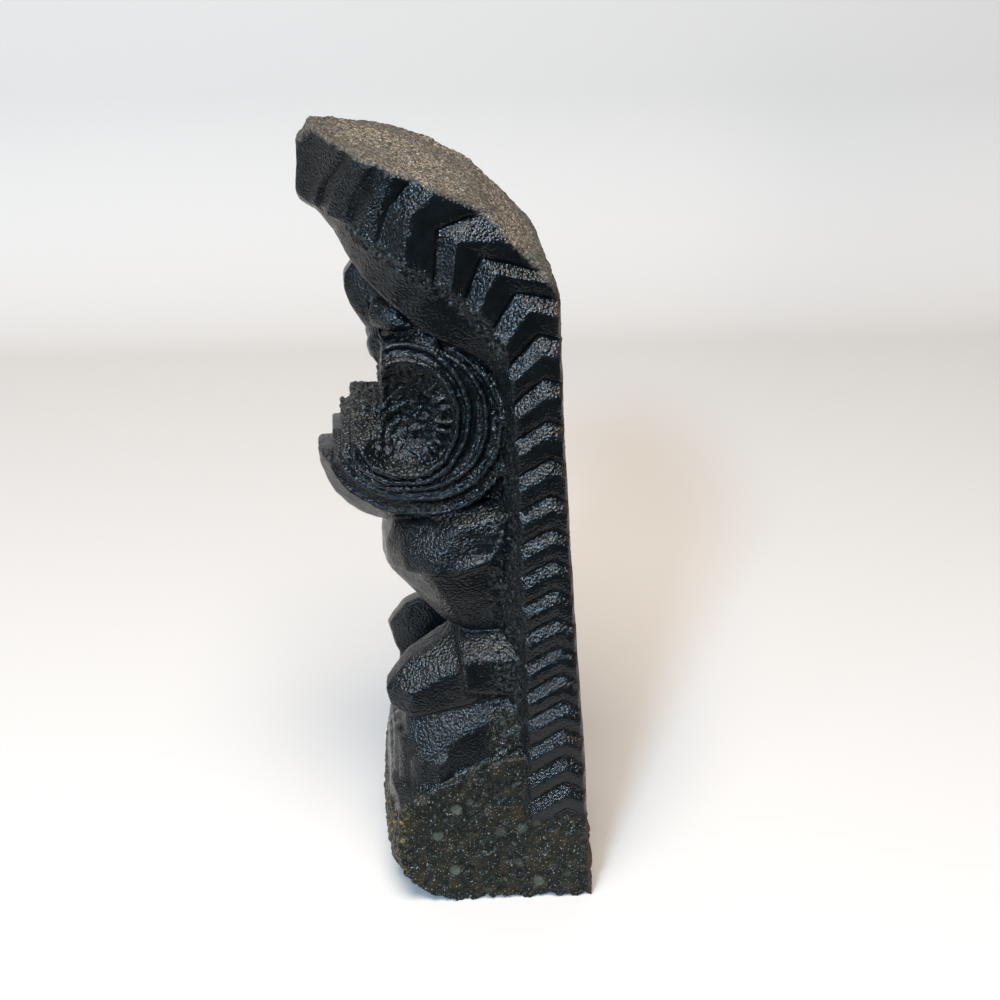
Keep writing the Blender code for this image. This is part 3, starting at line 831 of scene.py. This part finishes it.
GRIT_SIZES = {"fine": 0.45, "medium": 1.1, "coarse": 4.0, "broad": 14.0}
noise = {}
for name, size in GRIT_SIZES.items():
    noise[name] = add_node(tree, "ShaderNodeTexNoise",
                           {"Vector": place, "Scale": 1 / (size * MM), "Detail": 3.0, "Roughness": 0.55}
                           ).outputs["Fac"]
cells = add_node(tree, "ShaderNodeTexVoronoi", {"Vector": place, "Scale": 1 / (3.6 * MM)})
pits = add_node(tree, "ShaderNodeTexVoronoi", {"Vector": place, "Scale": 1 / (1.2 * MM)})
domes = add_node(tree, "ShaderNodeTexVoronoi", {"Vector": place, "Scale": 1 / (0.60 * MM)})
across = add_node(tree, "ShaderNodeSeparateXYZ", {0: place})

# %% [markdown]
# A share says how much of a layer shows. Each is a pattern stretched between two of its values, and
# most are then held to one place of the figure by its mark.

# %% The shares of the layers
STRETCHES = {
    "blotch": (noise["coarse"], 0.35, 0.70),
    "grit_light": (noise["medium"], 0.42, 0.60),
    "grit_bright": (noise["fine"], 0.56, 0.68),
    "grit_dark": (noise["fine"], 0.46, 0.36),
    "grit_pit": (pits.outputs["Distance"], 0.30, 0.14),
    "soot": (noise["broad"], 0.48, 0.60),
    "coat_light": (noise["medium"], 0.42, 0.68),
    "coat_speck": (noise["fine"], 0.62, 0.70),
    "coat_brown": (noise["coarse"], 0.50, 0.64),
    "grain_disc": (cells.outputs["Distance"], 0.40, 0.24),
    "grain_pick": (cells.outputs["Color"], 0.66, 0.80),
    "crumb_light": (noise["medium"], 0.52, 0.68),
    "tip": (across.outputs["Y"], -0.016, -0.026),
    "base_front": (across.outputs["Y"], -0.0098, -0.0120),
}
share = {}
for name, (source, low_value, high_value) in STRETCHES.items():
    stretch = {"Value": source, "From Min": low_value, "From Max": high_value}
    share[name] = add_node(tree, "ShaderNodeMapRange", stretch).outputs["Result"]

HELD = {
    # Ridges of the lacquer get a lighter bluish grey: partly wear, partly a painted highlight along the
    # edges.
    "ridge_wear_and_highlight": (mark["ridge"], 0.30),
    "strip_coat": (mark["foot_coat"], 0.85),
    "line_crumb": (mark["crumbs"], share["crumb_light"]),
    # Hollows of the lacquer are painted darker, as painted shade.
    "painted_hollow_shade": (mark["hollow"], 0.50),
    "round_grain": (share["grain_disc"], share["grain_pick"]),
    "mouth_crumb": (mark["mouth"], share["crumb_light"]),
    "lip_crumb": (mark["lip_top"], share["crumb_light"]),
    "recess_crumb": (mark["recess"], share["crumb_light"]),
    "sooty_top": (share["soot"], 0.55),
    "tip_dark": (share["tip"], 0.60),
    "ochre_front": (share["base_front"], share["crumb_light"]),
}
for name, (first, second) in HELD.items():
    share[name] = add_node(tree, "ShaderNodeMath", {0: first, 1: second}, operation='MULTIPLY').outputs[0]
print("layer shares:", len(share))

# %% [markdown]
# Now the colours. Each finish is a first colour with layers mixed over it, one after the other, so
# a loop builds it from a short list. The thin coat, the crumbs and the bare grit then go over the
# lacquer where their marks say.

# %% The colours, layer over layer
MIX_SHARE, MIX_UNDER, MIX_OVER, MIXED = 0, 6, 7, 2
FINISHES = {
    # On the lacquer, the lighter ridges are partly wear and partly a painted highlight, and the darker
    # hollows are painted shade.
    "lacquer": ("040709", (("blotch", "090e10"), ("ridge_wear_and_highlight", "273136"), ("painted_hollow_shade", "040506"))),
    "bare_grit": ("352f27", (("grit_light", "6b5f50"), ("grit_bright", "aa9b86"), ("grit_dark", "1a1713"),
                             ("grit_pit", "14110e"), ("sooty_top", "36322c"), ("tip_dark", "2a2723"))),
    "thin_coat": ("0b0d0b", (("coat_light", "1b1e19"), ("coat_brown", "231d12"), ("coat_speck", "7a796a"),
                             ("round_grain", "3b3f36"), ("ochre_front", "66562f"))),
}
finish = {}
for name, (first, layers) in FINISHES.items():
    colour = paint(first)
    for layer, hex_value in layers:
        mixed = {MIX_SHARE: share[layer], MIX_UNDER: colour, MIX_OVER: paint(hex_value)}
        colour = add_node(tree, "ShaderNodeMix", mixed, data_type='RGBA').outputs[MIXED]
    finish[name] = colour

colour = finish["lacquer"]
for where, over in ((mark["base"], finish["thin_coat"]), (share["strip_coat"], finish["thin_coat"]),
                    (share["mouth_crumb"], paint("26251e")), (share["lip_crumb"], paint("38352d")),
                    (share["recess_crumb"], paint("2c2e2c")), (share["line_crumb"], paint("3a3c3a")),
                    (mark["rim"], paint("35281f")), (mark["bare"], finish["bare_grit"])):
    colour = add_node(tree, "ShaderNodeMix", {MIX_SHARE: where, MIX_UNDER: colour, MIX_OVER: over},
                      data_type='RGBA').outputs[MIXED]
tree.links.new(colour, shader.inputs["Base Color"])

# %% [markdown]
# The lacquer's gloss changes a little from place to place. Grit dulls it on the base, on top of the
# lower lip and in the mouth, and the bare grit has none. The base mirrors less as well. The grain
# itself is bump: the fine pattern breaks the highlights up, and it is deepest where grit settled.

# %% Gloss and grain
gloss = add_node(tree, "ShaderNodeMapRange", {"Value": noise["medium"], "From Min": 0.3, "From Max": 0.7,
                                              "To Min": 0.08, "To Max": 0.15}).outputs["Result"]
DULLED = (("base", 0.24), ("bare", 0.65), ("lip_top", 0.20), ("mouth", 0.10))
for name, more in DULLED:
    step = add_node(tree, "ShaderNodeMath", {0: mark[name], 1: more}, operation='MULTIPLY').outputs[0]
    gloss = add_node(tree, "ShaderNodeMath", {0: gloss, 1: step}, operation='ADD').outputs[0]
tree.links.new(gloss, shader.inputs["Roughness"])
sheen = add_node(tree, "ShaderNodeMapRange", {"Value": mark["base"], "To Min": 0.29, "To Max": 0.15}
                 ).outputs["Result"]
tree.links.new(sheen, shader.inputs["Specular IOR Level"])

height = noise["fine"]
RELIEF = ((noise["medium"], 0.35), (domes.outputs["Distance"], -1.1), (share["grit_pit"], -0.15))
for pattern, weight in RELIEF:
    step = add_node(tree, "ShaderNodeMath", {0: pattern, 1: weight}, operation='MULTIPLY').outputs[0]
    height = add_node(tree, "ShaderNodeMath", {0: height, 1: step}, operation='ADD').outputs[0]
grain_depth = add_node(tree, "ShaderNodeMapRange", {"Value": mark["grainy"], "To Min": 0.40, "To Max": 1.0}
                       ).outputs["Result"]
bump = add_node(tree, "ShaderNodeBump", {"Height": height, "Strength": grain_depth, "Distance": 0.20 * MM})
tree.links.new(bump.outputs["Normal"], shader.inputs["Normal"])
figure.data.materials.clear()
figure.data.materials.append(stone)
print("finish nodes:", len(tree.nodes))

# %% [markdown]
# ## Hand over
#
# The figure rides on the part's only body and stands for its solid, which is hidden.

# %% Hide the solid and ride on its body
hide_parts("tiki_figurine")
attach(figure, "root")
